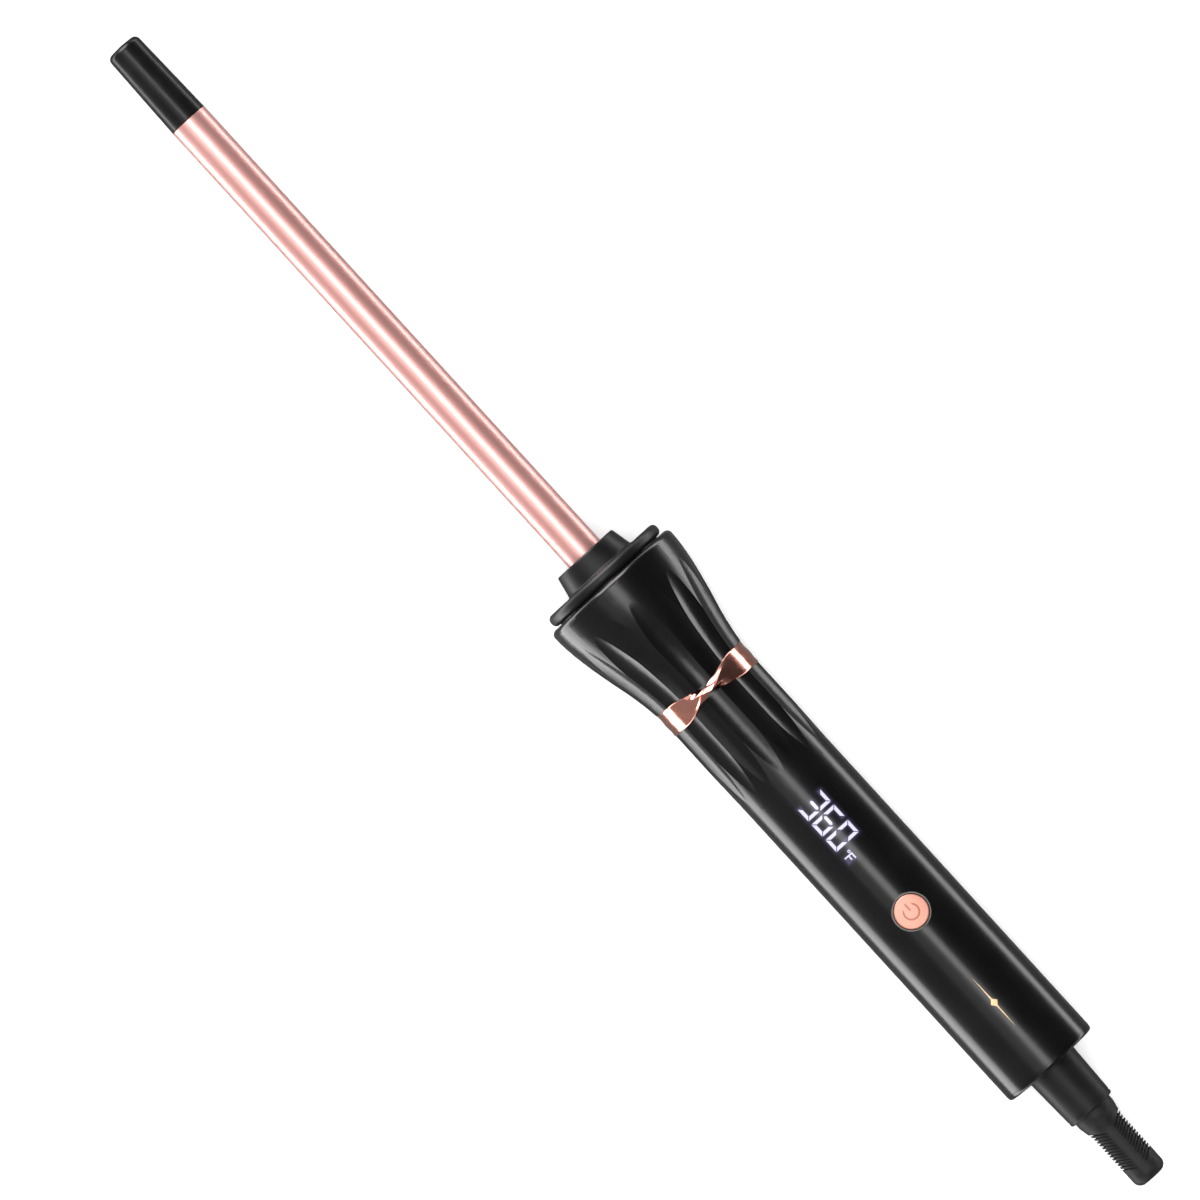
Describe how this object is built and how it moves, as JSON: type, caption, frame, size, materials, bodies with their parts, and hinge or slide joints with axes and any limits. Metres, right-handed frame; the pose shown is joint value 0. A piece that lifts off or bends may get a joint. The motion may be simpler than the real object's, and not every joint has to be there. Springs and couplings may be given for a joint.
{
  "type": "curling wand",
  "caption": "Slim curling wand with a bare rose-gold barrel, cool tip, fluted bell handle, lit temperature display, push button and swivelling cord boot.",
  "frame": {"origin": "on the barrel's axis, where the barrel leaves its base", "axes": "+X along the barrel towards the cool tip, +Z out of the display and button side"},
  "size_m": [0.3282, 0.0338, 0.0338],
  "materials": {
    "cool_tip_plastic": "satin black heat-resistant plastic",
    "rose_gold_barrel": "smooth satin rose-gold coating",
    "ceramic": "matte white",
    "aluminium": "extruded",
    "glass_bead": "glossy",
    "wire_insulation": "woven glass sleeve",
    "fuse_case": "satin",
    "base_plastic": "satin black",
    "zinc_steel": "zinc plated",
    "gloss_black": "high gloss",
    "black_screw": "black oxide",
    "rose_gold_trim": "polished rose-gold plating",
    "smoked_window": "high gloss, smoked",
    "lit_segments": "glowing cool white",
    "dark_segments": "unlit, smoked",
    "white_plastic": "moulded",
    "gold_foil": "satin foil",
    "button_satin": "satin rose gold",
    "bezel_chrome": "polished, smoked",
    "dark_plastic": "moulded",
    "board": "solder mask",
    "chip_ceramic": "glossy top",
    "capacitor_case": "moulded box",
    "capacitor_can": "printed sleeve",
    "matte_black": "fine matte",
    "hub_nylon": "moulded nylon",
    "brass": "turned",
    "bronze_spring": "rolled spring strip",
    "boot_rubber": "matte"
  },
  "bodies": {
    "handle": {"cool_tip": "cool_tip_plastic", "barrel": "rose_gold_barrel", "heater_element": "ceramic", "upper_heat_spreader": "aluminium", "lower_heat_spreader": "aluminium", "thermistor": "glass_bead", "thermistor_leads": "wire_insulation", "thermal_fuse": "fuse_case", "heater_leads": "wire_insulation", "barrel_base": "base_plastic", "barrel_retainer": "zinc_steel", "retainer_screws": "zinc_steel", "upper_shell": "gloss_black", "lower_shell": "gloss_black", "shell_screws": "black_screw", "waist_band": "rose_gold_trim", "display_window": "smoked_window", "display_segments_lit": "lit_segments", "display_segments_dark": "dark_segments", "display_module": "white_plastic", "handle_inlay": "gold_foil", "button_bezel": "bezel_chrome", "switch_body": "dark_plastic", "control_board": "board", "board_screws": "zinc_steel", "microcontroller": "dark_plastic", "chip_resistors": "chip_ceramic", "triac": "dark_plastic", "film_capacitor": "capacitor_case", "electrolytic_capacitor": "capacitor_can", "end_cap": "gloss_black", "swivel_neck": "matte_black", "brush_holder": "hub_nylon", "brush_contacts": "bronze_spring", "mains_leads": "wire_insulation"},
    "power_button": {"power_button": "button_satin", "switch_plunger": "dark_plastic"},
    "cord_boot": {"cord_boot": "boot_rubber", "swivel_hub": "hub_nylon", "contact_rings": "brass"}
  },
  "joints": [
    {"name": "button_press", "type": "slide", "parent": "handle", "child": "power_button", "axis": [0, 0, -1], "range_m": [0, 0.0005], "stiffness_N_per_m": 400},
    {"name": "cord_swivel", "type": "hinge", "parent": "handle", "child": "cord_boot", "pos_m": [-0.155, 0, 0], "axis": [-1, 0, 0], "continuous": true}
  ]
}
